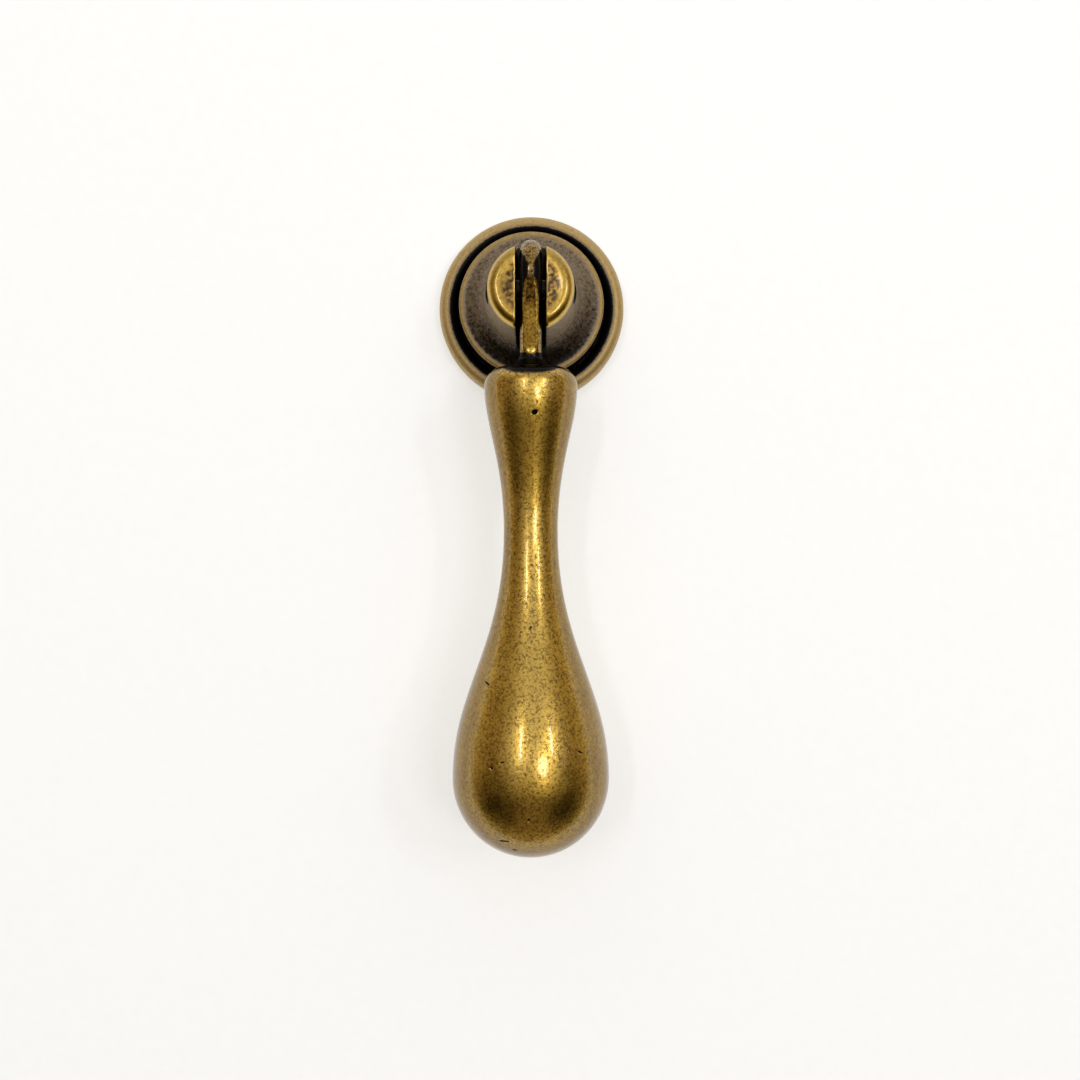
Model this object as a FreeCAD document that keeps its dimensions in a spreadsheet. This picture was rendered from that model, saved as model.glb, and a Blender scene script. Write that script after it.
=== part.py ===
import FreeCAD, Part
import Sketcher
import math
import os

# Drop pull: a round rosette with a slotted post, a cross pin and a teardrop that swings on it.
# Frame of the whole: millimetres, origin at the centre of the rosette's back face,
# Z up, the front of the pull faces -Y and the drawer front lies at Y = 0.

Vector = FreeCAD.Vector
doc = FreeCAD.newDocument("drop_pull")

# Driving sizes

SIZES = [
    ("rosette_diameter", 25.0, "outer diameter of the rosette"),
    ("rim_round", 1.3, "radius of the half-round rim bead"),
    ("rim_height", 3.2, "crest of the rim above the back face"),
    ("back_edge", 0.5, "rounding of the rosette's back edge"),
    ("groove_width", 0.25, "flat floor of the groove inside the rim"),
    ("groove_floor", 1.7, "floor of the groove above the back face"),
    ("ring_height", 5.8, "crest of the raised ring above the back face"),
    ("ring_round", 0.4, "rounding of the ring's outer edge"),
    ("cut_margin", 1.0, "how far a cut starts outside the metal"),
    ("post_reach", 17.2, "front of the head above the back face"),
    ("head_diameter", 10.6, "head at its front, before the border is rounded"),
    ("face_diameter", 8.2, "crest circle of the head's border"),
    ("dish_depth", 0.3, "hollow of the head's face"),
    ("post_draft", 6.0, "taper of the post in degrees"),
    ("pin_setback", 3.0, "pin axis behind the front of the head"),
    ("pin_diameter", 2.5, "hinge pin"),
    ("pin_length", 10.4, "hinge pin, shorter than the post is wide"),
    ("pin_bevel", 0.2, "bevel of the pin's ends"),
    ("pin_clearance", 0.08, "radial play of the eye on the pin"),
    ("side_clearance", 0.4, "gap between the tab and each cheek"),
    ("swing_clearance", 0.3, "gap between the eye's end and the slot floor"),
    ("floor_web", 1.7, "metal between the slot floor and the tapped hole"),
    ("thread_bore", 3.3, "tapping bore of the fixing thread"),
    ("recess_depth", 2.2, "cored hollow of the back"),
    ("boss_diameter", 9.0, "boss around the tapped hole"),
    ("land_width", 3.9, "flat ring of the back that meets the drawer"),
    ("eye_top", 6.2, "end of the tab above the pin axis"),
    ("tab_depth", 8.6, "tab from front to back at the eye"),
    ("foot_depth", 4.0, "tab from front to back at its foot"),
    ("tab_thickness", 2.8, "tab from side to side"),
    ("tab_flat", 0.1, "half the flat left between the tab's rounded edges"),
    ("neck_step", 0.1, "neck inside each side of the tab"),
    ("flare_height", 1.65, "sloping flare above the collar"),
    ("flare_spread", 1.65, "how far the flare runs out from the neck"),
    ("collar_flat", 0.6, "flat ring on top of the collar"),
    ("collar_drop", 9.75, "top of the collar below the pin axis"),
    ("collar_diameter", 11.7, "widest part of the collar"),
    ("collar_pull", 4.8, "how long the collar holds its width"),
    ("waist_drop", 30.2, "waist below the pin axis"),
    ("waist_diameter", 6.8, "thinnest part of the teardrop"),
    ("waist_pull_up", 8.7, "how long the waist holds its width upwards"),
    ("waist_pull_down", 14.5, "how long the waist holds its width downwards"),
    ("bulb_pull", 11.2, "how long the bulb holds its width upwards"),
    ("drop_length", 70.8, "end of the drop below the pin axis"),
    ("bulb_diameter", 19.6, "bulb, which ends in a half sphere"),
]

sheet = doc.addObject("Spreadsheet::Sheet", "Sizes")
for row, (alias, value, note) in enumerate(SIZES, start=1):
    sheet.set(f"A{row}", alias)
    sheet.set(f"B{row}", str(value))
    sheet.set(f"C{row}", note)
    sheet.setAlias(f"B{row}", alias)
doc.recompute()


def size(alias):
    """One driving size as a number, for the first guess of a sketch."""
    return float(sheet.get(alias))


# Shared expressions

PIN_REACH = "(Sizes.post_reach - Sizes.pin_setback)"
SLOT_FLOOR = f"({PIN_REACH} - Sizes.eye_top - Sizes.swing_clearance)"
SLOT_WIDTH = "(Sizes.tab_thickness + 2 * Sizes.side_clearance)"
ROSETTE_RADIUS = "(Sizes.rosette_diameter / 2)"
RING_RADIUS = f"({ROSETTE_RADIUS} - 2 * Sizes.rim_round - Sizes.groove_width)"
NECK_RADIUS = "(Sizes.tab_thickness / 2 - Sizes.neck_step)"
FLARE_FOOT = f"({NECK_RADIUS} + Sizes.flare_spread)"
SHOULDER_START = f"({FLARE_FOOT} + Sizes.collar_flat)"
SHOULDER_ROUND = f"(Sizes.collar_diameter / 2 - {SHOULDER_START})"
COLLAR_WIDEST = f"(Sizes.collar_drop + {SHOULDER_ROUND})"
BULB_DROP = "(Sizes.drop_length - Sizes.bulb_diameter / 2)"

pin_reach = size("post_reach") - size("pin_setback")
slot_floor = pin_reach - size("eye_top") - size("swing_clearance")
slot_width = size("tab_thickness") + 2 * size("side_clearance")


# Sketch helpers

ORIGIN = (-1, 1)
START = 1
END = 2
CENTRE = 3


def new_body(name, label):
    """An empty body with its own label."""
    body = doc.addObject("PartDesign::Body", name)
    body.Label = label
    return body


def new_sketch(body, name, role):
    """A sketch on one of the body's own origin planes."""
    sketch = body.newObject("Sketcher::SketchObject", name)
    plane = [item for item in body.Origin.OriginFeatures if item.Role == role][0]
    sketch.AttachmentSupport = (plane, [""])
    sketch.MapMode = "FlatFace"
    return sketch


def bind(sketch, kind, *arguments):
    """A dimension whose value, the last argument but one, follows an expression, the last argument."""
    *references, value, expression = arguments
    index = sketch.addConstraint(Sketcher.Constraint(kind, *references, value))
    sketch.setExpression(f"Constraints[{index}]", expression)


def place(sketch, geometry, point, across=None, along=None):
    """Ties a point to the origin; each of the two distances is a pair of value and expression."""
    for kind, distance, axis in (("DistanceX", across, -2), ("DistanceY", along, -1)):
        if distance is None:
            continue
        value, expression = distance
        if expression == "0":
            sketch.addConstraint(Sketcher.Constraint("PointOnObject", geometry, point, axis))
        elif value < 0:
            bind(sketch, kind, geometry, point, *ORIGIN, -value, expression)
        else:
            bind(sketch, kind, *ORIGIN, geometry, point, value, expression)


def line(sketch, first, second):
    """A straight edge between two points of the sketch plane."""
    return sketch.addGeometry(Part.LineSegment(Vector(*first, 0), Vector(*second, 0)), False)


def arc(sketch, first, middle, last):
    """A round edge through three points of the sketch plane."""
    points = [Vector(*point, 0) for point in (first, middle, last)]
    geometry = sketch.addGeometry(Part.Arc(*points), False)
    start = sketch.getPoint(geometry, START)
    runs_forward = start.distanceToPoint(points[0]) < start.distanceToPoint(points[2])
    return (geometry, START, END) if runs_forward else (geometry, END, START)


def join(sketch, *ends):
    """Makes pairs of edge ends meet."""
    for first, second in zip(ends[::2], ends[1::2]):
        sketch.addConstraint(Sketcher.Constraint("Coincident", *first, *second))


def level_with_centre(sketch, geometry, point, kind):
    """An arc's end lies level with or straight above its centre."""
    sketch.addConstraint(Sketcher.Constraint(kind, geometry, point, geometry, CENTRE))


def round_through(sketch, first, middle, last):
    """A quarter-like arc that leaves its first end upright and its last end level."""
    geometry, start, end = arc(sketch, first, middle, last)
    level_with_centre(sketch, geometry, start, "Horizontal")
    level_with_centre(sketch, geometry, end, "Vertical")
    return geometry, start, end


def bead(sketch, outer, radius, radius_expression):
    """A half-round bead that starts at its outer side and ends at its inner side."""
    across, along = outer
    geometry, start, end = arc(
        sketch, outer, (across - radius, along + radius), (across - 2 * radius, along))
    level_with_centre(sketch, geometry, start, "Horizontal")
    level_with_centre(sketch, geometry, end, "Horizontal")
    bind(sketch, "Radius", geometry, radius, radius_expression)
    return geometry, start, end


def swept_curve(sketch, poles, free_poles=0):
    """A cubic curve with four poles, each a pair of value and expression per direction.

    The first free_poles of them are held by the edge before the curve and get no dimension.
    """
    points = [Vector(across[0], along[0], 0) for across, along in poles]
    geometry = sketch.addGeometry(Part.BSplineCurve(points, None, None, False, 3, None, False), False)
    first_pole = geometry + 1
    sketch.exposeInternalGeometry(geometry)
    for offset, (across, along) in enumerate(poles):
        if offset >= free_poles:
            place(sketch, first_pole + offset, CENTRE, across, along)
    return geometry


def turned(body, name, sketch, kind):
    """A full turn of a sketch about its upright axis, added or cut."""
    feature = body.newObject(kind, name)
    feature.Profile = sketch
    feature.ReferenceAxis = (sketch, ["V_Axis"])
    feature.Angle = 360
    return feature


def cut_through(body, name, sketch):
    """A cut that runs through everything on both sides of its sketch."""
    feature = body.newObject("PartDesign::Pocket", name)
    feature.Profile = sketch
    feature.Type = "ThroughAll"
    feature.SideType = "Symmetric"
    return feature


def circle(sketch, centre, radius, expression):
    """A full circle whose radius follows an expression."""
    shape = Part.Circle(Vector(*centre, 0), Vector(0, 0, 1), radius)
    geometry = sketch.addGeometry(shape, False)
    bind(sketch, "Radius", geometry, radius, expression)
    return geometry


def rectangle(sketch, low, high):
    """Four edges, square to the axes, that start at the low corner; two of them can be placed."""
    corners = [low, (high[0], low[1]), high, (low[0], high[1])]
    edges = [line(sketch, first, second) for first, second in zip(corners, corners[1:] + corners[:1])]
    for first, second in zip(edges, edges[1:] + edges[:1]):
        join(sketch, (first, END), (second, START))
    for edge, kind in zip(edges, ("Horizontal", "Vertical", "Horizontal", "Vertical")):
        sketch.addConstraint(Sketcher.Constraint(kind, edge))
    return edges


def edge_names(feature, wanted):
    """Names of those edges of a feature that pass a test."""
    return [f"Edge{number}" for number, edge in enumerate(feature.Shape.Edges, start=1) if wanted(edge)]


# Rosette: built with its back on XY and its post along Z, then laid over so that the post faces -Y

rosette = new_body("Rosette", "rosette")
rosette.Placement = FreeCAD.Placement(Vector(0, 0, 0), FreeCAD.Rotation(Vector(1, 0, 0), 90))

rosette_radius = size("rosette_diameter") / 2
rim_shoulder = size("rim_height") - size("rim_round")
rim_inside = rosette_radius - 2 * size("rim_round")
ring_radius = rim_inside - size("groove_width")
ring_height = size("ring_height")
ring_round = size("ring_round")
ring_base = ring_height - ring_round
ring_crest = ring_radius - ring_round
head_radius = size("head_diameter") / 2
face_radius = size("face_diameter") / 2
post_reach = size("post_reach")
back_edge = size("back_edge")
head_round = head_radius - face_radius
draft = math.radians(size("post_draft"))
post_foot = head_radius + (post_reach - ring_height) * math.tan(draft)
cove_round = ring_crest - post_foot
cove_top = (post_foot, ring_height + cove_round)

profile = new_sketch(rosette, "RosetteProfile", "XZ_Plane")

back = line(profile, (0, 0), (rosette_radius - back_edge, 0))
edge, edge_side, edge_back = round_through(
    profile, (rosette_radius, back_edge), (rosette_radius - 0.3 * back_edge, 0.3 * back_edge),
    (rosette_radius - back_edge, 0))
wall = line(profile, (rosette_radius, back_edge), (rosette_radius, rim_shoulder))
rim, rim_outer, rim_inner = bead(
    profile, (rosette_radius, rim_shoulder), size("rim_round"), "Sizes.rim_round")
groove_side = line(profile, (rim_inside, rim_shoulder), (rim_inside, size("groove_floor")))
groove_bed = line(profile, (rim_inside, size("groove_floor")), (ring_radius, size("groove_floor")))
ring_wall = line(profile, (ring_radius, size("groove_floor")), (ring_radius, ring_base))
ring, ring_outer, ring_inner = round_through(
    profile, (ring_radius, ring_base), (ring_radius - 0.3 * ring_round, ring_base + 0.7 * ring_round),
    (ring_crest, ring_height))
cove, cove_foot, cove_end = arc(
    profile, (ring_crest, ring_height),
    (ring_crest - 0.7 * cove_round, ring_height + 0.3 * cove_round), cove_top)
flank = line(profile, cove_top, (head_radius, post_reach - head_round))
border, border_foot, border_crest = arc(
    profile, (head_radius, post_reach - head_round),
    (face_radius + 0.7 * head_round, post_reach - 0.3 * head_round), (face_radius, post_reach))
dish, dish_edge, dish_middle = arc(
    profile, (face_radius, post_reach), (face_radius / 2, post_reach - 0.75 * size("dish_depth")),
    (0, post_reach - size("dish_depth")))
axis = line(profile, (0, post_reach - size("dish_depth")), (0, 0))
corner = profile.addGeometry(Part.Point(Vector(head_radius, post_reach, 0)), True)

join(profile,
     (back, END), (edge, edge_back), (edge, edge_side), (wall, START),
     (wall, END), (rim, rim_outer), (rim, rim_inner), (groove_side, START),
     (groove_side, END), (groove_bed, START), (groove_bed, END), (ring_wall, START),
     (ring_wall, END), (ring, ring_outer), (ring, ring_inner), (cove, cove_foot),
     (border, border_crest), (dish, dish_edge), (dish, dish_middle), (axis, START),
     (axis, END), (back, START), (back, START), ORIGIN)
for upright in (wall, groove_side, ring_wall, axis):
    profile.addConstraint(Sketcher.Constraint("Vertical", upright))
for level in (back, groove_bed):
    profile.addConstraint(Sketcher.Constraint("Horizontal", level))
profile.addConstraint(Sketcher.Constraint("Tangent", cove, cove_end, flank, START))
profile.addConstraint(Sketcher.Constraint("Tangent", flank, END, border, border_foot))
level_with_centre(profile, cove, cove_foot, "Vertical")
level_with_centre(profile, border, border_crest, "Vertical")
level_with_centre(profile, dish, dish_middle, "Vertical")
profile.addConstraint(Sketcher.Constraint("PointOnObject", corner, START, flank))
place(profile, wall, START, (rosette_radius, ROSETTE_RADIUS), (back_edge, "Sizes.back_edge"))
place(profile, rim, CENTRE, None, (rim_shoulder, "Sizes.rim_height - Sizes.rim_round"))
place(profile, groove_bed, END, (ring_radius, RING_RADIUS), (size("groove_floor"), "Sizes.groove_floor"))
place(profile, ring, CENTRE, None, (ring_base, "Sizes.ring_height - Sizes.ring_round"))
bind(profile, "Radius", ring, ring_round, "Sizes.ring_round")
place(profile, corner, START, (head_radius, "Sizes.head_diameter / 2"), (post_reach, "Sizes.post_reach"))
place(profile, dish, dish_edge, (face_radius, "Sizes.face_diameter / 2"), (post_reach, "Sizes.post_reach"))
place(profile, dish, dish_middle, None,
      (post_reach - size("dish_depth"), "Sizes.post_reach - Sizes.dish_depth"))
bind(profile, "Angle", -2, flank, FreeCAD.Units.Quantity(f"{size('post_draft')} deg"),
     "Sizes.post_draft * 1 deg")
turned(rosette, "RosetteCasting", profile, "PartDesign::Revolution")

recess_sketch = new_sketch(rosette, "BackRecessSketch", "XZ_Plane")
boss_radius = size("boss_diameter") / 2
recess_radius = rosette_radius - size("land_width")
recess_depth = size("recess_depth")
recess_edges = rectangle(recess_sketch, (boss_radius, 0), (recess_radius, recess_depth))
place(recess_sketch, recess_edges[0], START, (boss_radius, "Sizes.boss_diameter / 2"), (0, "0"))
place(recess_sketch, recess_edges[2], START, (recess_radius, f"{ROSETTE_RADIUS} - Sizes.land_width"),
      (recess_depth, "Sizes.recess_depth"))
turned(rosette, "BackRecess", recess_sketch, "PartDesign::Groove")

slot_sketch = new_sketch(rosette, "SlotSketch", "XZ_Plane")
half_slot = slot_width / 2
slot_mouth = post_reach + size("cut_margin")
slot_edges = rectangle(slot_sketch, (-half_slot, slot_floor), (half_slot, slot_mouth))
place(slot_sketch, slot_edges[0], START, (-half_slot, f"{SLOT_WIDTH} / 2"), (slot_floor, SLOT_FLOOR))
place(slot_sketch, slot_edges[2], START, (half_slot, f"{SLOT_WIDTH} / 2"),
      (slot_mouth, "Sizes.post_reach + Sizes.cut_margin"))
cut_through(rosette, "Slot", slot_sketch)

pin_hole_sketch = new_sketch(rosette, "PinHoleSketch", "YZ_Plane")
pin_hole = circle(pin_hole_sketch, (0, pin_reach), size("pin_diameter") / 2, "Sizes.pin_diameter / 2")
place(pin_hole_sketch, pin_hole, CENTRE, (0, "0"), (pin_reach, PIN_REACH))
cut_through(rosette, "PinHole", pin_hole_sketch)

thread_sketch = new_sketch(rosette, "ThreadSketch", "XY_Plane")
thread_circle = circle(thread_sketch, (0, 0), size("thread_bore") / 2, "Sizes.thread_bore / 2")
join(thread_sketch, (thread_circle, CENTRE), ORIGIN)
doc.recompute()
thread = rosette.newObject("PartDesign::Hole", "FixingThread")
thread.Profile = thread_sketch
thread.DepthType = "Dimension"
thread.DrillPoint = "Flat"
thread.Reversed = True
thread.setExpression("Diameter", "Sizes.thread_bore")
thread.setExpression("Depth", f"{SLOT_FLOOR} - Sizes.floor_web")

# Hinge pin: built along Z, then laid across the slot

hinge_pin = new_body("HingePin", "hinge_pin")
hinge_pin.Placement = FreeCAD.Placement(Vector(0, 0, 0), FreeCAD.Rotation(Vector(0, 1, 0), 90))
hinge_pin.setExpression("Placement.Base.y", f"-{PIN_REACH}")

pin_sketch = new_sketch(hinge_pin, "PinSketch", "XY_Plane")
pin_circle = circle(pin_sketch, (0, 0), size("pin_diameter") / 2, "Sizes.pin_diameter / 2")
join(pin_sketch, (pin_circle, CENTRE), ORIGIN)
pin_pad = hinge_pin.newObject("PartDesign::Pad", "PinPad")
pin_pad.Profile = pin_sketch
pin_pad.SideType = "Symmetric"
pin_pad.setExpression("Length", "Sizes.pin_length")
doc.recompute()
pin_bevel = hinge_pin.newObject("PartDesign::Chamfer", "PinBevel")
pin_bevel.Base = (pin_pad, edge_names(pin_pad, lambda edge: edge.isClosed()))
pin_bevel.setExpression("Size", "Sizes.pin_bevel")

# Drop: built with the pin axis through its origin, hanging along -Z

drop = new_body("Drop", "drop")
drop.setExpression("Placement.Base.y", f"-{PIN_REACH}")

eye_half = size("tab_depth") / 2
foot_half = size("foot_depth") / 2
eye_level = size("eye_top") - eye_half
foot_level = size("flare_height") - size("collar_drop")
taper_sine = (eye_half - foot_half) / (eye_level - foot_level)
taper_cosine = math.sqrt(1 - taper_sine ** 2)
eye_side = (eye_half * taper_cosine, eye_level + eye_half * taper_sine)
foot_side = (foot_half * taper_cosine, foot_level + foot_half * taper_sine)

tab_sketch = new_sketch(drop, "TabSketch", "YZ_Plane")
top_arc, top_front, top_back = arc(
    tab_sketch, eye_side, (0, size("eye_top")), (-eye_side[0], eye_side[1]))
foot_arc, foot_back, foot_front = arc(
    tab_sketch, (-foot_side[0], foot_side[1]), (0, foot_level - foot_half), foot_side)
tab_back = line(tab_sketch, (-eye_side[0], eye_side[1]), (-foot_side[0], foot_side[1]))
tab_front = line(tab_sketch, foot_side, eye_side)
for first, second in (((top_arc, top_back), (tab_back, START)), ((tab_back, END), (foot_arc, foot_back)),
                      ((foot_arc, foot_front), (tab_front, START)), ((tab_front, END), (top_arc, top_front))):
    tab_sketch.addConstraint(Sketcher.Constraint("Tangent", *first, *second))
place(tab_sketch, top_arc, CENTRE, (0, "0"), (eye_level, "Sizes.eye_top - Sizes.tab_depth / 2"))
place(tab_sketch, foot_arc, CENTRE, (0, "0"), (foot_level, "Sizes.collar_drop - Sizes.flare_height"))
bind(tab_sketch, "Radius", top_arc, eye_half, "Sizes.tab_depth / 2")
bind(tab_sketch, "Radius", foot_arc, foot_half, "Sizes.foot_depth / 2")
tab = drop.newObject("PartDesign::Pad", "Tab")
tab.Profile = tab_sketch
tab.SideType = "Symmetric"
tab.setExpression("Length", "Sizes.tab_thickness")
doc.recompute()
tab_rounding = drop.newObject("PartDesign::Fillet", "TabRounding")
tab_rounding.Base = (tab, edge_names(tab, lambda edge: edge.BoundBox.XLength < 0.5))
tab_rounding.setExpression("Radius", "Sizes.tab_thickness / 2 - Sizes.tab_flat")

neck_radius = size("tab_thickness") / 2 - size("neck_step")
flare_foot = neck_radius + size("flare_spread")
shoulder_start = flare_foot + size("collar_flat")
collar_radius = size("collar_diameter") / 2
shoulder_round = collar_radius - shoulder_start
collar_top = -size("collar_drop")
collar_widest = collar_top - shoulder_round
waist_radius = size("waist_diameter") / 2
waist_level = -size("waist_drop")
bulb_radius = size("bulb_diameter") / 2
bulb_level = bulb_radius - size("drop_length")

teardrop = new_sketch(drop, "TeardropProfile", "XZ_Plane")
neck_top = collar_top + size("flare_height")
top_edge = line(teardrop, (0, neck_top), (neck_radius, neck_top))
flare = line(teardrop, (neck_radius, neck_top), (flare_foot, collar_top))
ledge = line(teardrop, (flare_foot, collar_top), (shoulder_start, collar_top))
shoulder, shoulder_side, shoulder_top = round_through(
    teardrop, (collar_radius, collar_widest),
    (shoulder_start + 0.7 * shoulder_round, collar_widest + 0.7 * shoulder_round),
    (shoulder_start, collar_top))
collar_side = (collar_radius, "Sizes.collar_diameter / 2")
waist_side = (waist_radius, "Sizes.waist_diameter / 2")
bulb_side = (bulb_radius, "Sizes.bulb_diameter / 2")
upper = swept_curve(teardrop, [
    (collar_side, (collar_widest, COLLAR_WIDEST)),
    (collar_side, (collar_widest - size("collar_pull"), f"{COLLAR_WIDEST} + Sizes.collar_pull")),
    (waist_side, (waist_level + size("waist_pull_up"), "Sizes.waist_drop - Sizes.waist_pull_up")),
    (waist_side, (waist_level, "Sizes.waist_drop"))])
lower = swept_curve(teardrop, [
    (waist_side, (waist_level, "Sizes.waist_drop")),
    (waist_side, (waist_level - size("waist_pull_down"), "Sizes.waist_drop + Sizes.waist_pull_down")),
    (bulb_side, (bulb_level + size("bulb_pull"), f"{BULB_DROP} - Sizes.bulb_pull")),
    (bulb_side, (bulb_level, BULB_DROP))], free_poles=1)
bulb_end, bulb_equator, bulb_bottom = round_through(
    teardrop, (bulb_radius, bulb_level), (0.7 * bulb_radius, bulb_level - 0.7 * bulb_radius),
    (0, bulb_level - bulb_radius))
middle = line(teardrop, (0, bulb_level - bulb_radius), (0, neck_top))
join(teardrop,
     (top_edge, END), (flare, START), (flare, END), (ledge, START),
     (ledge, END), (shoulder, shoulder_top), (shoulder, shoulder_side), (upper, START),
     (upper, END), (lower, START), (lower, END), (bulb_end, bulb_equator),
     (bulb_end, bulb_bottom), (middle, START), (middle, END), (top_edge, START))
teardrop.addConstraint(Sketcher.Constraint("Vertical", middle))
for level in (top_edge, ledge):
    teardrop.addConstraint(Sketcher.Constraint("Horizontal", level))
teardrop.addConstraint(Sketcher.Constraint("PointOnObject", middle, START, -2))
place(teardrop, top_edge, END, (neck_radius, NECK_RADIUS),
      (neck_top, "Sizes.collar_drop - Sizes.flare_height"))
place(teardrop, ledge, START, (flare_foot, FLARE_FOOT), (collar_top, "Sizes.collar_drop"))
turned(drop, "Teardrop", teardrop, "PartDesign::Revolution")

eye_sketch = new_sketch(drop, "EyeSketch", "YZ_Plane")
eye_radius = size("pin_diameter") / 2 + size("pin_clearance")
eye_circle = circle(eye_sketch, (0, 0), eye_radius, "Sizes.pin_diameter / 2 + Sizes.pin_clearance")
join(eye_sketch, (eye_circle, CENTRE), ORIGIN)
cut_through(drop, "EyeHole", eye_sketch)

# Check and export

doc.recompute()
for item in doc.Objects:
    if "Invalid" in item.State or "Error" in item.State:
        raise RuntimeError(f"{item.Name} did not compute: {item.State}")
for sketch in doc.findObjects("Sketcher::SketchObject"):
    if not sketch.FullyConstrained:
        raise RuntimeError(f"{sketch.Name} has a loose edge")
bodies = (rosette, hinge_pin, drop)
for body in bodies:
    if body.Shape.isNull() or not body.Shape.isValid():
        raise RuntimeError(f"{body.Label} has no valid shape")

os.makedirs("parts", exist_ok=True)
for body in bodies:
    body.Shape.exportStep(f"parts/{body.Label}.step")
    print(body.Label, len(body.Shape.Solids), round(body.Shape.Volume, 2), body.Shape.BoundBox)
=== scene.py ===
import math

import bmesh
import bpy
import numpy as np
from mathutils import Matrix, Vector, kdtree, noise


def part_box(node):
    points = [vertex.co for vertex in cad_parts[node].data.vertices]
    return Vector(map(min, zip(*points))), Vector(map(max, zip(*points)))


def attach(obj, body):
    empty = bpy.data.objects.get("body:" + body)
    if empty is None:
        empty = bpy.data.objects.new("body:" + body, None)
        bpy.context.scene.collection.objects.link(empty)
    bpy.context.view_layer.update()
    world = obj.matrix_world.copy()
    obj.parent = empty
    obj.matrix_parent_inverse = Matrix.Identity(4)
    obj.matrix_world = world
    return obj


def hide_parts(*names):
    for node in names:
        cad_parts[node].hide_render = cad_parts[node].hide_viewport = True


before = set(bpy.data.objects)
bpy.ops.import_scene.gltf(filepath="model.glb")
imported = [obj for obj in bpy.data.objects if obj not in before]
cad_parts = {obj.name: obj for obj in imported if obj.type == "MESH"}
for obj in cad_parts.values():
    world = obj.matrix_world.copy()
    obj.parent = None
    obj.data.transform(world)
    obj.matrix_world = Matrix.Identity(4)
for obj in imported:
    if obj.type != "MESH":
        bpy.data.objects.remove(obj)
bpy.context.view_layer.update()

# Drop pull in antique brass, lying on a white surface.
# Metres in the frame of the solids: the front faces -Y, Z is up, the back lies at Y = 0.
# Shapes are worked out in millimetres, and a point's reach is its height above the back.

MM = 0.001
scene = bpy.context.scene
scene.view_settings.view_transform = "Standard"

# Sizes of the rosette's turned profile, in millimetres

rosette_low, rosette_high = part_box("rosette")
ROSETTE_RADIUS = rosette_high.x / MM
POST_REACH = -rosette_low.y / MM
BACK_EDGE = 0.5
RIM_ROUND = 1.3
RIM_HEIGHT = 3.2
GROOVE_WIDTH = 0.25
GROOVE_FLOOR = 1.7
RING_HEIGHT = 5.8
RING_ROUND = 0.4
HEAD_RADIUS = 5.3
FACE_RADIUS = 4.1
DISH_DEPTH = 0.3
POST_DRAFT = math.radians(6)
RING_RADIUS = ROSETTE_RADIUS - 2 * RIM_ROUND - GROOVE_WIDTH

# Sizes of the cuts in the rosette and of the drop

SLOT_HALF = 1.8
SLOT_FLOOR = 7.7
PIN_RADIUS = 1.25
EYE_RADIUS = 1.36
THREAD_BORE = 1.65
THREAD_DEPTH = 6.0
THREAD_PITCH = 0.7
THREAD_HEIGHT = 0.3
COLLAR_TOP = -9.75
TAB_FOOT = -7.6
TAB_HALF = 1.4
TAB_FLAT = 0.1
TAB_ROUND = TAB_HALF - TAB_FLAT
drop_low, drop_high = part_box("drop")
BULB_RADIUS = drop_high.x / MM
BULB_LEVEL = drop_low.z / MM + BULB_RADIUS
PIN_REACH = -(drop_low.y + drop_high.y) / 2 / MM

# Meshing of the castings, in millimetres

ROSETTE_GRID = 0.172
DROP_GRID = 0.212
SAME_POINT = 0.001
PROFILE_STEP = 0.02
PROFILE_NEAR = 0.14
WAVE_HEIGHT = 0.01

# Marks on the front of the drop, in millimetres:
# across, height, half length, half width, turn in degrees, depth

MARKS = [
    (0.5, -15.87, 0.33, 0.27, 20, 0.4),
    (5.87, -56.6, 0.38, 0.1, -30, 0.1),
    (-3.14, -67.3, 0.65, 0.1, 3, 0.1),
    (-1.92, -68.6, 0.3, 0.1, 0, 0.08),
    (-0.17, -64.2, 0.3, 0.17, 80, 0.12),
    (-5.22, -48.7, 0.4, 0.13, -35, 0.12),
    (-3.32, -57.55, 0.34, 0.1, 20, 0.09),
    (-4.55, -58.3, 0.2, 0.17, 0, 0.12),
    (0.0, -41.97, 0.26, 0.13, 75, 0.1),
]

# Shares of a mark's half size where its floor and its edge end, and the depth at which it is black

MARK_FLOOR = 0.45
MARK_EDGE = 1.25
BLACK_PIT = 0.16

# Wear of the metal: 0 is black and 1 is bare brass, and below 0 no grain shows through the black

DEEP_BLACK = -0.3
BARE_BRASS = 1.0
BACK_WEAR = 0.45
HOLLOW_WEAR = 0.25

# Wear of the rosette's front by radius: the cove, the ring, the groove and the rim

FRONT_WEAR = [
    (5.4, 0.47), (6.2, 0.46), (7.2, 0.42), (8.6, 0.38),
    (8.95, 0.5), (9.2, 0.78), (9.55, 0.82),
    (9.68, DEEP_BLACK), (10.75, DEEP_BLACK),
    (11.1, 0.5), (11.4, 0.95), (12.2, 1.0), (12.5, 0.9),
]
# How much darker the cove is painted towards its lower side
LOW_SIDE_DARKENING = 0.33

# The tab's front by height: half width of its flat, half width of its rubbed strip, wear of the strip

FLAT_TOP = 1.5
FLAT_HALF = [(TAB_FOOT, 0.92), (-4.4, 0.88), (-1.9, 0.83), (0.5, 0.55), (FLAT_TOP, 0.35)]
STRIP_HALF = [
    (-8.3, 0.0), (-7.9, 1.6), (-5.0, 1.5), (-2.8, 0.95), (-1.9, 0.85), (0.5, 0.55),
    (1.0, 0.42), (2.3, 0.42), (3.2, 0.75), (4.2, 1.4), (4.8, 1.7),
]
STRIP_WEAR = [(-8.0, 1.0), (-3.5, 0.95), (-1.5, 0.5), (1.0, 0.5), (2.0, 0.68), (6.0, 0.62)]

# Wear of the teardrop, with painted shade darkening its sides, by the angle in radians at which its
# surface turns away from the front

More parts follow.
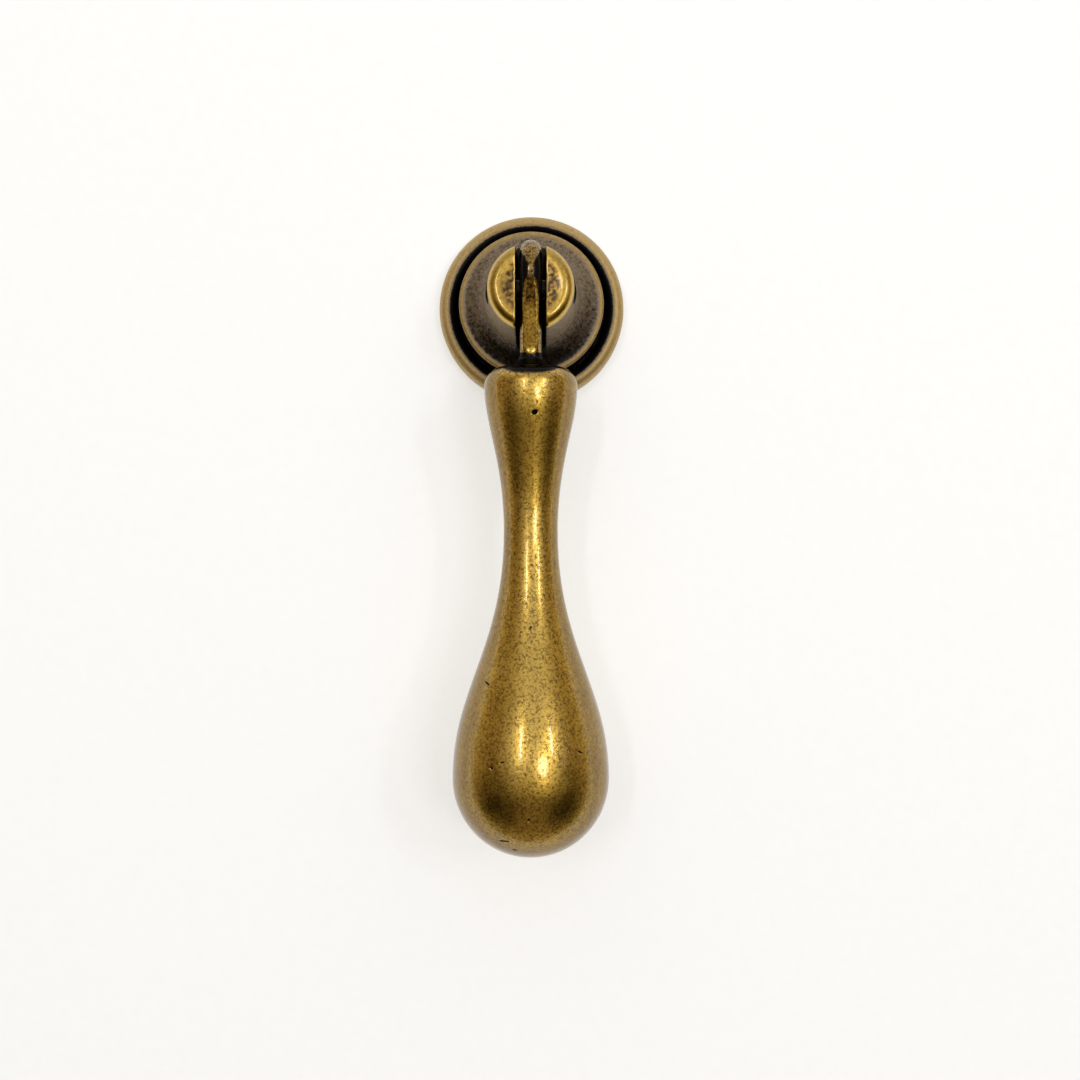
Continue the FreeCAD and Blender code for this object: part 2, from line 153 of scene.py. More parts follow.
TEARDROP_WEAR_AND_SHADE = [(0.35, 1.0), (0.7, 0.86), (0.95, 0.62), (1.15, 0.7), (1.5, 0.78)]


def smooth_step(value, low, high):
    """0 below low, 1 above high and a soft change between them."""
    share = np.clip((value - low) / (high - low), 0, 1)
    return share * share * (3 - 2 * share)


def follow(table, values):
    """Reads a table of places and amounts, straight between its rows."""
    places, amounts = zip(*table)
    return np.interp(values, places, amounts)


# Working a casting point by point

def fine_copy(name, grid):
    """An evenly meshed copy of a solid, with its points a grid step apart."""
    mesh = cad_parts[name].data.copy()
    piece = bpy.data.objects.new(f"{name}_casting", mesh)
    scene.collection.objects.link(piece)
    welded = bmesh.new()
    welded.from_mesh(mesh)
    bmesh.ops.remove_doubles(welded, verts=welded.verts, dist=SAME_POINT * MM)
    welded.to_mesh(mesh)
    welded.free()
    remesh = piece.modifiers.new("grid", "REMESH")
    remesh.mode = "VOXEL"
    remesh.voxel_size = grid * MM
    remesh.use_smooth_shade = True
    dependencies = bpy.context.evaluated_depsgraph_get()
    piece.data = bpy.data.meshes.new_from_object(piece.evaluated_get(dependencies))
    piece.modifiers.clear()
    return piece


def read_points(mesh):
    """The points of a mesh in millimetres."""
    flat = np.empty(len(mesh.vertices) * 3)
    mesh.vertices.foreach_get("co", flat)
    return flat.reshape(-1, 3) / MM


def write_points(mesh, points):
    """Puts points in millimetres back into their mesh."""
    mesh.vertices.foreach_set("co", (points * MM).ravel())
    mesh.update()


def write_share(mesh, name, values):
    """Keeps one number per point, which the finish reads by name."""
    mesh.attributes.new(name, "FLOAT", "POINT").data.foreach_set("value", values)


def relax(mesh, points, rounds):
    """Moves each point half way to the middle of its neighbours, which rounds off edges and facets."""
    edges = np.empty(len(mesh.edges) * 2, dtype=np.int64)
    mesh.edges.foreach_get("vertices", edges)
    first, second = edges.reshape(-1, 2).T
    neighbours = np.bincount(edges, minlength=len(points))[:, None]
    for _ in range(rounds):
        total = np.zeros_like(points)
        for column in range(3):
            total[:, column] += np.bincount(first, points[second, column], len(points))
            total[:, column] += np.bincount(second, points[first, column], len(points))
        points += 0.5 * (total / neighbours - points)


def cast_waves(mesh, points, height, spacing):
    """Sinks a surface a little here and there, as on a hand-finished casting."""
    normals = np.empty(len(points) * 3)
    mesh.vertices.foreach_get("normal", normals)
    waves = np.array([noise.noise(Vector(point) / spacing) for point in points])
    points += height * (waves[:, None] - 1) * normals.reshape(-1, 3)


# Rosette

def arc_points(centre, radius, start, end):
    """Points along an arc, with its angles in radians."""
    count = max(2, math.ceil(abs(end - start) * radius / PROFILE_STEP))
    angles = np.linspace(start, end, count)
    radii = centre[0] + radius * np.cos(angles)
    reaches = centre[1] + radius * np.sin(angles)
    return np.column_stack([radii, reaches])


def line_points(start, end):
    """Points along a straight stretch."""
    count = max(2, math.ceil(math.dist(start, end) / PROFILE_STEP))
    return np.linspace(start, end, count)


def rosette_profile():
    """Radius and reach along the front of the rosette, from its edge to the middle of its head."""
    quarter = math.pi / 2
    rim_base = RIM_HEIGHT - RIM_ROUND
    rim_middle = ROSETTE_RADIUS - RIM_ROUND
    rim_inside = ROSETTE_RADIUS - 2 * RIM_ROUND
    ring_base = RING_HEIGHT - RING_ROUND
    ring_crest = RING_RADIUS - RING_ROUND
    sine, cosine = math.sin(POST_DRAFT), math.cos(POST_DRAFT)
    cove = ((ring_crest - HEAD_RADIUS) * cosine - (POST_REACH - RING_HEIGHT) * sine) / (1 - sine)
    border = (HEAD_RADIUS - FACE_RADIUS) * cosine / (1 - sine)
    dish = (FACE_RADIUS ** 2 + DISH_DEPTH ** 2) / (2 * DISH_DEPTH)
    dish_turn = math.asin(FACE_RADIUS / dish)
    cove_middle = (ring_crest, RING_HEIGHT + cove)
    border_middle = (FACE_RADIUS, POST_REACH - border)
    flank_foot = (cove_middle[0] - cove * cosine, cove_middle[1] - cove * sine)
    flank_top = (border_middle[0] + border * cosine, border_middle[1] + border * sine)
    return np.concatenate([
        line_points((ROSETTE_RADIUS, BACK_EDGE), (ROSETTE_RADIUS, rim_base)),
        arc_points((rim_middle, rim_base), RIM_ROUND, 0, 2 * quarter),
        line_points((rim_inside, rim_base), (rim_inside, GROOVE_FLOOR)),
        line_points((rim_inside, GROOVE_FLOOR), (RING_RADIUS, GROOVE_FLOOR)),
        line_points((RING_RADIUS, GROOVE_FLOOR), (RING_RADIUS, ring_base)),
        arc_points((ring_crest, ring_base), RING_ROUND, 0, quarter),
        arc_points(cove_middle, cove, 3 * quarter, 2 * quarter + POST_DRAFT),
        line_points(flank_foot, flank_top),
        arc_points(border_middle, border, POST_DRAFT, quarter),
        arc_points((0, POST_REACH - DISH_DEPTH + dish), dish,
                   3 * quarter + dish_turn, 3 * quarter),
    ])


def true_to_profile(points, profile):
    """Brings points of a turned front onto its exact profile, where they lie near it."""
    tree = kdtree.KDTree(len(profile))
    for index, (radius, reach) in enumerate(profile):
        tree.insert((radius, reach, 0), index)
    tree.balance()
    for point in points:
        radius = math.hypot(point[0], point[2])
        (true_radius, true_reach, _), _, gap = tree.find((radius, -point[1], 0))
        if gap < PROFILE_NEAR and radius > 0:
            point[[0, 2]] *= true_radius / radius
            point[1] = -true_reach


def cut_thread(points):
    """Winds a thread into the wall of the fixing hole."""
    inside = 0.15
    outside = 0.1
    above_floor = 0.2
    radius = np.hypot(points[:, 0], points[:, 2])
    reach = -points[:, 1]
    wall = (radius > THREAD_BORE - inside) & (radius < THREAD_BORE + outside)
    wall &= reach < THREAD_DEPTH - above_floor
    turn = np.arctan2(points[:, 2], points[:, 0]) / (2 * math.pi)
    phase = np.abs(2 * ((reach / THREAD_PITCH + turn) % 1) - 1)
    grown = 1 + THREAD_HEIGHT * phase * smooth_step(reach, 0, THREAD_PITCH) / THREAD_BORE
    points[wall, 0] *= grown[wall]
    points[wall, 2] *= grown[wall]


def head_wear_and_highlight(points, radius):
    """Wear of the post's head: a mottled face, a rubbed border and an outer edge that is rubbed and
    painted brighter as a highlight.
    """
    cells = 2.6
    mottled = np.array([noise.noise(Vector(point) * cells) for point in points])
    face = 0.72 - 0.42 * smooth_step(mottled, -0.35, 0.3)
    border = smooth_step(radius, FACE_RADIUS - 0.9, FACE_RADIUS - 0.1)
    # Painted highlight: the head's outer edge is painted brighter over its wear
    edge = smooth_step(radius, HEAD_RADIUS - 0.4, HEAD_RADIUS)
    return face + border * (0.86 - face) + 0.2 * edge


def rosette_wear_and_light(points):
    """How far each point of the rosette is rubbed bright, with painted shade around the pin's hole, a
    painted highlight on the head's edge and darker towards the cove's lower side: 0 is black, 1 is
    bare brass.
    """
    radius = np.hypot(points[:, 0], points[:, 2])
    reach = -points[:, 1]
    behind_front = POST_REACH - reach
    front = follow(FRONT_WEAR, radius)
    low_side = 0.5 - 0.5 * points[:, 2] / np.maximum(radius, SAME_POINT)
    cove = smooth_step(radius, 5.4, 7.0) * (1 - smooth_step(radius, 8.7, 9.1))
    # The cove is painted darker towards its lower side
    front -= LOW_SIDE_DARKENING * low_side ** 2 * cove
    share = np.where(behind_front < 1.5, head_wear_and_highlight(points, radius), front)
    beside_slot = np.abs(points[:, 0]) - SLOT_HALF
    slot_edge = (beside_slot < 0.3) & (behind_front < 0.8)
    share[slot_edge] = BARE_BRASS
    in_slot = 1 - smooth_step(beside_slot, 0.0, 0.2)
    in_slot *= smooth_step(reach, SLOT_FLOOR - 1.4, SLOT_FLOOR - 1.0) * (radius < 7.5)
    share += in_slot * (DEEP_BLACK - share)
    back = reach < 0.3
    share[back] = BACK_WEAR
    hollow = (reach < 2.4) & (radius < 8.8)
    share[hollow] = HOLLOW_WEAR
    # Painted shade: a dark ring around the pin's hole
    beside_pin = np.hypot(reach - PIN_REACH, points[:, 2]) - PIN_RADIUS
    share -= 0.8 * (1 - smooth_step(beside_pin, 0.2, 0.55))
    return share


def make_rosette():
    """The rosette: true turned front, soft slot edges, thread in the back."""
    piece = fine_copy("rosette", ROSETTE_GRID)
    mesh = piece.data
    points = read_points(mesh)
    relax(mesh, points, rounds=2)
    reach = -points[:, 1]
    edge = 0.25
    beside_slot = (np.abs(points[:, 0]) < SLOT_HALF + edge) & (reach > SLOT_FLOOR - 0.3)
    beside_pin = np.hypot(reach - PIN_REACH, points[:, 2]) < PIN_RADIUS + edge
    turned = ~(beside_slot | beside_pin)
    front = points[turned]
    true_to_profile(front, rosette_profile())
    points[turned] = front
    cut_thread(points)
    write_points(mesh, points)
    cast_waves(mesh, points, WAVE_HEIGHT, spacing=1.3)
    write_points(mesh, points)
    behind_front = POST_REACH + points[:, 1]
    write_share(mesh, "polish_and_painted_light", rosette_wear_and_light(points))
    write_share(mesh, "pit", np.zeros(len(points)))
    write_share(mesh, "grit", np.ones(len(points)))
    write_share(mesh, "dull", smooth_step(behind_front, 1.0, 1.4))
    return piece


# Drop

def turned_radius(heights):
    """Radius of the teardrop at each height, from the corner points of its solid."""
    corners = read_points(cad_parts["drop"].data)
    along = corners[:, 2]
    radius = np.hypot(corners[:, 0], corners[:, 1] + PIN_REACH)
    margin = 0.02
    body = (along < COLLAR_TOP - margin) & (along > BULB_LEVEL - margin / 2)
    order = np.argsort(along[body])
    known_height, known_radius = along[body][order], radius[body][order]
    apart = np.concatenate([[True], np.diff(known_height) > margin])
    known_height, known_radius = known_height[apart], known_radius[apart]
    slope = np.gradient(known_radius, known_height)
    index = np.clip(np.searchsorted(known_height, heights) - 1, 0, len(known_height) - 2)
    step = known_height[index + 1] - known_height[index]
    share = np.clip((heights - known_height[index]) / step, 0, 1)
    ease = smooth_step(share, 0, 1)
    low, high = known_radius[index], known_radius[index + 1]
    bend_low = share * (1 - share) ** 2 * step * slope[index]
    bend_high = -share ** 2 * (1 - share) * step * slope[index + 1]
    return low + (high - low) * ease + bend_low + bend_high


def true_teardrop(points):
    """Brings the body below the collar's top onto its exact turned form."""
    blend_start = COLLAR_TOP - 0.3
    blend_end = COLLAR_TOP - 0.9
    offset = points - [0, -PIN_REACH, BULB_LEVEL]
    radius = np.hypot(offset[:, 0], offset[:, 1])
    ball = points[:, 2] < BULB_LEVEL
    distance = np.linalg.norm(offset[ball], axis=1)
    offset[ball] *= (BULB_RADIUS / distance)[:, None]
    body = ~ball & (points[:, 2] < blend_start)
    wanted = turned_radius(points[body, 2])
    share = 1 - smooth_step(points[body, 2], blend_end, blend_start)
    factor = 1 + share * (wanted / radius[body] - 1)
    offset[body, :2] *= factor[:, None]
    points[:] = offset + [0, -PIN_REACH, BULB_LEVEL]


def tab_crest():
    """Slope and level of the line along the tab's front, from the corner points of its solid."""
    corners = read_points(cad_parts["drop"].data)
    forward = -PIN_REACH - corners[:, 1]
    ridge = (np.abs(corners[:, 0]) < 0.15) & (forward > 1.8)
    ridge &= (corners[:, 2] > COLLAR_TOP + 1) & (corners[:, 2] < 1)
    return np.polyfit(corners[ridge, 2], forward[ridge], 1)


def flatten_tab(points):
    """Gives the tab's front a flat that widens towards its foot, with the edges that leaves."""
    foot_depth = 0.14
    eye_depth = 0.02
    slope, level = tab_crest()
    across, height = np.abs(points[:, 0]), points[:, 2]
    front = -PIN_REACH - points[:, 1]
    crest = level + slope * height
    half = follow(FLAT_HALF, height)
    drop_off = TAB_ROUND - np.sqrt(TAB_ROUND ** 2 - np.clip(half - TAB_FLAT, 0, TAB_ROUND) ** 2)
    cut = foot_depth + (eye_depth - foot_depth) * smooth_step(height, -3.0, 1.3)
    beyond = np.clip((across - half) / (TAB_HALF - half), 0, 1)
    filled = front + (drop_off - cut) * (1 - beyond ** 1.5)
    flat = np.where(across < half, crest - cut, filled)
    fade = smooth_step(height, TAB_FOOT - 0.4, TAB_FOOT)
    fade *= 1 - smooth_step(height, FLAT_TOP - 0.3, FLAT_TOP)
    on_front = (front > 0) & (crest - front < TAB_ROUND) & (across < TAB_HALF - 0.02)
    points[:, 1] = np.where(on_front, -PIN_REACH - front - fade * (flat - front), points[:, 1])


def true_eye(points):
    """Opens the eye to its running clearance on the pin."""
    near_wall = 0.12
    depth, height = points[:, 1] + PIN_REACH, points[:, 2]
    distance = np.hypot(depth, height)
    wall = (distance < EYE_RADIUS + near_wall) & (np.abs(points[:, 0]) < TAB_HALF)
    factor = EYE_RADIUS / distance[wall]
    points[wall, 1] = depth[wall] * factor - PIN_REACH
    points[wall, 2] = height[wall] * factor


def mark_depth(points):
    """How deep the marks sink each point of the drop's front, in millimetres."""
    depth = np.zeros(len(points))
    for across, height, half_length, half_width, turn, deepest in MARKS:
        angle = math.radians(turn)
        right, up = points[:, 0] - across, points[:, 2] - height
        along = (right * math.cos(angle) + up * math.sin(angle)) / half_length
        aside = (up * math.cos(angle) - right * math.sin(angle)) / half_width
        inside = 1 - smooth_step(np.hypot(along, aside), MARK_FLOOR, MARK_EDGE)
        inside[points[:, 1] > -PIN_REACH] = 0
        depth = np.maximum(depth, deepest * inside)
    return depth


def refine_marks(mesh):
    """Gives the mesh finer faces where the marks lie."""
    rounds = 2
    margin = 0.25
    fine = bmesh.new()
    fine.from_mesh(mesh)
    for _ in range(rounds):
        near = set()
        for edge in fine.edges:
            middle = (edge.verts[0].co + edge.verts[1].co) / 2 / MM
            if middle.y > -PIN_REACH:
                continue
            for across, height, half_length, *_ in MARKS:
                if math.hypot(middle.x - across, middle.z - height) < half_length + margin:
                    near.add(edge)
        bmesh.ops.subdivide_edges(fine, edges=list(near), cuts=1, use_grid_fill=True)
    for face in fine.faces:
        face.smooth = True
    fine.to_mesh(mesh)
    fine.free()


def tab_wear_and_light(across, height):
    """Wear of the tab: a rubbed strip on its front, painted shade on its sides below the head, and
    painted highlights along the rubbed edges of its flat.
    """
    half = follow(FLAT_HALF, height)
    worn = follow(STRIP_WEAR, height)
    # Painted shade: the tab's sides below the head are painted darker than its flat
    worn *= 1 - 0.35 * smooth_step(across, half, half + 0.25) * (height < -1)
    rubbed = smooth_step(follow(STRIP_HALF, height) - across, -0.22, 0.22)
    # Painted highlights: bright lines along the edges of the flat, over their wear
    edge = np.exp(-((across - half) / 0.17) ** 2)
    edge *= smooth_step(height, -7.0, -5.0) * (1 - smooth_step(height, 0.2, 0.8))
    return np.maximum(worn * rubbed + DEEP_BLACK * (1 - rubbed), 1.2 * edge)


def drop_wear_and_light(points):
    """How far each point of the drop is rubbed bright, with painted shade on the teardrop's sides and
    the tab's lower sides and painted highlights along the tab's flat, and how much grain shows there.

    0 is black and 1 is bare brass; grain is full on the front and fades towards the sides."""
    across, height = np.abs(points[:, 0]), points[:, 2]
    below_equator = np.minimum(height - BULB_LEVEL, 0)
    turned_away = np.arctan2(np.hypot(across, below_equator), -PIN_REACH - points[:, 1])
    neck_shadow = COLLAR_TOP - 0.35 - 1.05 * np.exp(-(across / 3.1) ** 4)
    # Wear and painted shade: the teardrop's sides are painted darker the further they turn from the
    # front
    body = follow(TEARDROP_WEAR_AND_SHADE, turned_away)
    body *= 1 - smooth_step(height - neck_shadow, -0.25, 0.3)
    share = np.where(height > COLLAR_TOP + 0.3, tab_wear_and_light(across, height), body)
    from_pin = np.hypot(points[:, 1] + PIN_REACH, height)
    eye = (from_pin < EYE_RADIUS + 0.3) & (across < TAB_HALF)
    share[eye] = DEEP_BLACK
    return share, 1 - 0.65 * smooth_step(turned_away, 0.45, 1.0)


def make_drop():
    """The drop: true teardrop, soft tab, open eye and the marks of its casting."""
    piece = fine_copy("drop", DROP_GRID)
    mesh = piece.data
    points = read_points(mesh)
    relax(mesh, points, rounds=6)
    true_teardrop(points)
    flatten_tab(points)
    true_eye(points)
    write_points(mesh, points)
    refine_marks(mesh)
    points = read_points(mesh)
    cast_waves(mesh, points, WAVE_HEIGHT, spacing=1.6)
    depth = mark_depth(points)
    inwards = [0, -PIN_REACH, 0] - points
    inwards[:, 2] = 0
    inwards /= np.maximum(np.linalg.norm(inwards, axis=1), SAME_POINT)[:, None]
    points += depth[:, None] * inwards
    write_points(mesh, points)
    polish_and_painted_light, grit = drop_wear_and_light(points)
    write_share(mesh, "polish_and_painted_light", polish_and_painted_light)
    write_share(mesh, "grit", grit)
    write_share(mesh, "pit", np.clip(depth / BLACK_PIT, 0, 1))
    write_share(mesh, "dull", np.zeros(len(points)))
    return piece


# Node helpers

def connect(tree, socket, value):
    """Gives an input its number or colour, or links it to another node."""
    if isinstance(value, bpy.types.NodeSocket):
        tree.links.new(value, socket)
    else:
        socket.default_value = value


def add_node(tree, kind, **inputs):
    """A new node; an input's spaces are written as underscores."""
    node = tree.nodes.new(kind)
    for name, value in inputs.items():
        connect(tree, node.inputs[name.replace("_", " ")], value)
    return node


def calculate(tree, operation, *values):
    """The result of one sum on numbers or outputs."""
    node = tree.nodes.new("ShaderNodeMath")
    node.operation = operation
    for socket, value in zip(node.inputs, values):
        connect(tree, socket, value)
    return node.outputs[0]


def rescale(tree, value, low, high, new_low=0.0, new_high=1.0):
    """A soft change from one range to another, held at both ends."""
    node = tree.nodes.new("ShaderNodeMapRange")
    node.interpolation_type = "SMOOTHSTEP"
    for socket, number in zip(node.inputs, (value, low, high, new_low, new_high)):
        connect(tree, socket, number)
    return node.outputs[0]


def shades(tree, value, stops):
    """A colour for each value, between stops of a place and a colour."""
    node = tree.nodes.new("ShaderNodeValToRGB")
    elements = node.color_ramp.elements
    while len(elements) < len(stops):
        elements.new(1.0)
    for element, (place, colour) in zip(elements, stops):
        element.position = place
        element.color = (*colour, 1)
    connect(tree, node.inputs[0], value)
    return node.outputs["Color"]


def grain(tree, place, scale, detail, roughness=0.5):
    """Cloudy noise with that many cells to a millimetre."""
    node = add_node(
        tree, "ShaderNodeTexNoise", Vector=place, Scale=scale, Detail=detail, Roughness=roughness)
    return node.outputs[0]


def new_tree(name):
    """An empty material and its nodes."""
    material = bpy.data.materials.new(name)
    material.use_nodes = True
    material.node_tree.nodes.clear()
    return material, material.node_tree


def point_share(tree, name):
    """A number that is kept at each point of the piece."""
    node = tree.nodes.new("ShaderNodeAttribute")
    node.attribute_name = name
    return node.outputs["Fac"]


def place_in_millimetres(tree):
    """The point on the piece, so that scales are cells to a millimetre."""
    place = tree.nodes.new("ShaderNodeTexCoord").outputs["Object"]
    return stretched(tree, place, [1 / MM] * 3)


def stretched(tree, place, scale):
    """A place with each of its three directions multiplied."""
    return add_node(tree, "ShaderNodeMapping", Vector=place, Scale=scale).outputs[0]


# Finishes

LACQUER_IOR = 1.52
EDGE_TINT = (0.45, 0.41, 0.36, 1)
BLACKENED = (0.004, 0.0035, 0.003)

# Tones of the brass by its wear

GLOSSY_TONES = [
    (0.0, BLACKENED),
    (0.2, (0.035, 0.014, 0.003)),
    (0.42, (0.135, 0.07, 0.008)),
    (0.68, (0.315, 0.188, 0.021)),
    (1.0, (0.63, 0.412, 0.07)),
]
SATIN_TONES = [
    (0.0, BLACKENED),
    (0.12, (0.04, 0.027, 0.016)),
    (0.44, (0.35, 0.265, 0.17)),
    (0.58, (0.33, 0.215, 0.075)),
    (0.75, (0.44, 0.29, 0.075)),
    (0.95, (0.59, 0.43, 0.18)),
]


def antique_brass(name, unevenness, graininess, speckle):
    """Lacquered brass, blackened all over and rubbed bright where the casting is worn, with the
    painted shade and highlights that each point carries.

    The tones run from the blackened state to bare brass, satin where the surface is dull."""
    material, tree = new_tree(name)
    place = place_in_millimetres(tree)
    clouds = grain(tree, stretched(tree, place, (1, 1, 0.5)), scale=0.4, detail=2)
    ragged = grain(tree, place, scale=1.6, detail=3, roughness=0.6)
    grains = grain(tree, place, scale=4.2, detail=2, roughness=0.6)
    specks = grain(tree, place, scale=2.8, detail=4, roughness=0.72)
    # The polish share carries wear together with painted shade and highlights
    polish_and_painted_light = point_share(tree, "polish_and_painted_light")
    pit = point_share(tree, "pit")
    dull = point_share(tree, "dull")
    grit = point_share(tree, "grit")

    cloudy = calculate(tree, "MULTIPLY", clouds, 0.4)
    cloudy = calculate(tree, "MULTIPLY_ADD", ragged, 0.6, cloudy)
    uneven = calculate(tree, "MULTIPLY", calculate(tree, "SUBTRACT", cloudy, 0.5), unevenness)
    grainy = calculate(tree, "MULTIPLY", calculate(tree, "SUBTRACT", grains, 0.5), graininess)
    grainy = calculate(tree, "MULTIPLY", grainy, calculate(tree, "MULTIPLY", polish_and_painted_light, grit))
    rubbed = calculate(tree, "ADD", calculate(tree, "ADD", polish_and_painted_light, uneven), grainy)
    speck = calculate(tree, "MULTIPLY", rescale(tree, specks, 0.56, 0.36), speckle)
    speck = calculate(tree, "MULTIPLY", speck, grit)
    tone = calculate(tree, "SUBTRACT", rubbed, calculate(tree, "ADD", speck, pit))
    tone.node.use_clamp = True
    glossy = shades(tree, tone, GLOSSY_TONES)
    satin = shades(tree, tone, SATIN_TONES)
    colour = tree.nodes.new("ShaderNodeMixRGB")
    for socket, value in zip(colour.inputs, (dull, glossy, satin)):
        connect(tree, socket, value)

    roughness = rescale(tree, tone, 0.0, 0.8, 0.5, 0.29)
    roughness = calculate(tree, "MULTIPLY_ADD", dull, 0.28, roughness)
    cloud_change = calculate(tree, "MULTIPLY_ADD", clouds, 0.16, -0.08)
    roughness = calculate(tree, "ADD", roughness, cloud_change)
    coat_roughness = calculate(tree, "MULTIPLY_ADD", dull, 0.3, 0.1)
    coat = rescale(tree, tone, 0.05, 0.5, 0.2, 0.9)
    bump = add_node(tree, "ShaderNodeBump", Height=specks, Strength=0.4, Distance=0.04 * MM)
    shader = add_node(
        tree, "ShaderNodeBsdfPrincipled", Base_Color=colour.outputs[0], Metallic=1.0,
        Roughness=roughness, Specular_Tint=EDGE_TINT, Normal=bump.outputs[0],
        Coat_Weight=coat, Coat_Roughness=coat_roughness, Coat_IOR=LACQUER_IOR)
    add_node(tree, "ShaderNodeOutputMaterial", Surface=shader.outputs[0])
    return material


def dark_steel(name):
    """Steel that is drawn along its length and darkened."""
    material, tree = new_tree(name)
    drawn = stretched(tree, place_in_millimetres(tree), (0.4, 6, 6))
    streaks = grain(tree, drawn, scale=1.5, detail=3)
    colour = shades(tree, streaks, [(0.3, (0.012, 0.01, 0.009)), (0.7, (0.07, 0.06, 0.05))])
    roughness = rescale(tree, streaks, 0.3, 0.7, 0.35, 0.55)
    bump = add_node(tree, "ShaderNodeBump", Height=streaks, Strength=0.3, Distance=0.02 * MM)
    shader = add_node(
        tree, "ShaderNodeBsdfPrincipled", Base_Color=colour, Metallic=1.0,
        Roughness=roughness, Normal=bump.outputs[0])
    add_node(tree, "ShaderNodeOutputMaterial", Surface=shader.outputs[0])
    return material


# Stage, with its places in metres

STAGE_RADIUS = 0.9
SURFACE_GAP = 0.2 * MM
PAPER_LIFT = 0.515
ROOM_LIGHT = 0.6
TENT_BRIGHT = 0.8
CORNER_SHADE = 0.12
DARK_CORNERS = [(-0.65, -0.5, -0.55), (0.72, -0.42, -0.55)]
LAMP_AIM = Vector((0, -0.014, -0.04))
LAMP_DISTANCE = 0.6
LAMP_COLOUR = (1.0, 0.98, 0.95)
CAMERA_PLACE = (0.00115, -0.1606, -0.03132)
FOCAL_PIXELS = 1168
PHOTO_PIXELS = 1080


def seen_directly(tree):
    """1 for what the camera, a reflection or glass sees, and 0 for light that is scattered."""
    path = tree.nodes.new("ShaderNodeLightPath").outputs
    seen = calculate(tree, "MAXIMUM", path["Is Camera Ray"], path["Is Glossy Ray"])
    return calculate(tree, "MAXIMUM", seen, path["Is Transmission Ray"])


def white_paper():
    """Matt white surface that keeps shadows and can be seen only from its front."""
    material, tree = new_tree("white_paper")
    fibres = grain(tree, place_in_millimetres(tree), scale=0.8, detail=2)
    colour = shades(tree, fibres, [(0.3, (0.77, 0.8, 0.84)), (0.7, (0.8, 0.835, 0.88))])
    matt = add_node(tree, "ShaderNodeBsdfDiffuse", Color=colour)
    strength = calculate(tree, "MULTIPLY", seen_directly(tree), PAPER_LIFT)
    lift = add_node(tree, "ShaderNodeEmission", Color=(1, 1, 1, 1), Strength=strength)
    lit = tree.nodes.new("ShaderNodeAddShader")
    tree.links.new(matt.outputs[0], lit.inputs[0])
    tree.links.new(lift.outputs[0], lit.inputs[1])
    from_behind = tree.nodes.new("ShaderNodeNewGeometry").outputs["Backfacing"]
    clear = tree.nodes.new("ShaderNodeBsdfTransparent")
    either = tree.nodes.new("ShaderNodeMixShader")
    for socket, output in zip(either.inputs, (from_behind, lit.outputs[0], clear.outputs[0])):
        tree.links.new(output, socket)
    add_node(tree, "ShaderNodeOutputMaterial", Surface=either.outputs[0])
    return material


def make_surface():
    """A round white surface behind the pull, open where the rosette covers it."""
    opening = 0.95 * ROSETTE_RADIUS * MM
    half_way = 0.05
    mesh = bpy.data.meshes.new("surface")
    rings = bmesh.new()
    loops = []
    for radius in (opening, half_way, STAGE_RADIUS):
        circle = bmesh.ops.create_circle(rings, segments=96, radius=radius)["verts"]
        loops.append(circle)
    for inner, outer in zip(loops, loops[1:]):
        for index in range(len(inner)):
            following = (index + 1) % len(inner)
            rings.faces.new((inner[index], outer[index], outer[following], inner[following]))
    for vertex in rings.verts:
        vertex.co = Vector((vertex.co.x, SURFACE_GAP, vertex.co.y))
    rings.normal_update()
    if rings.faces[:][0].normal.y > 0:
        bmesh.ops.reverse_faces(rings, faces=rings.faces)
    rings.to_mesh(mesh)
    rings.free()
    surface = bpy.data.objects.new("surface", mesh)
    scene.collection.objects.link(surface)
    mesh.materials.append(white_paper())


def tent_cloth():
    """Light of the tent: bright in front and above, dim at the sides, dark at the lower corners."""
    material, tree = new_tree("tent_cloth")
    place = tree.nodes.new("ShaderNodeTexCoord").outputs["Object"]
    direction = tree.nodes.new("ShaderNodeVectorMath")
    direction.operation = "NORMALIZE"
    tree.links.new(place, direction.inputs[0])
    split = add_node(tree, "ShaderNodeSeparateXYZ", Vector=direction.outputs[0]).outputs
    across, depth, height = split["X"], split["Y"], split["Z"]
    side = rescale(tree, depth, -0.5, 0.0, 0.32, 0.55)
    side = calculate(tree, "MULTIPLY", side, rescale(tree, height, -0.35, 0.0, 0.7, 1.0))
    towards = calculate(tree, "MULTIPLY", depth, -0.99)
    towards = calculate(tree, "MULTIPLY_ADD", across, 0.14, towards)
    ahead = rescale(tree, towards, 0.45, 1.0)
    overhead = rescale(tree, height, 0.35, 0.8)
    bright = calculate(tree, "MAXIMUM", ahead, overhead)
    bright = calculate(tree, "MULTIPLY", bright, rescale(tree, height, -0.3, 0.06))
    level = add_node(tree, "ShaderNodeMix", Factor=bright, A=side, B=TENT_BRIGHT).outputs[0]
    for corner in DARK_CORNERS:
        facing = tree.nodes.new("ShaderNodeVectorMath")
        facing.operation = "DOT_PRODUCT"
        tree.links.new(direction.outputs[0], facing.inputs[0])
        facing.inputs[1].default_value = Vector(corner).normalized()
        shade = rescale(tree, facing.outputs["Value"], 0.8, 0.99, 1.0, CORNER_SHADE)
        level = calculate(tree, "MULTIPLY", level, shade)
    colour = shades(tree, bright, [(0.0, (1.0, 0.75, 0.4)), (0.8, LAMP_COLOUR)])
    glow = add_node(tree, "ShaderNodeEmission", Color=colour, Strength=level)
    add_node(tree, "ShaderNodeOutputMaterial", Surface=glow.outputs[0])
    return material


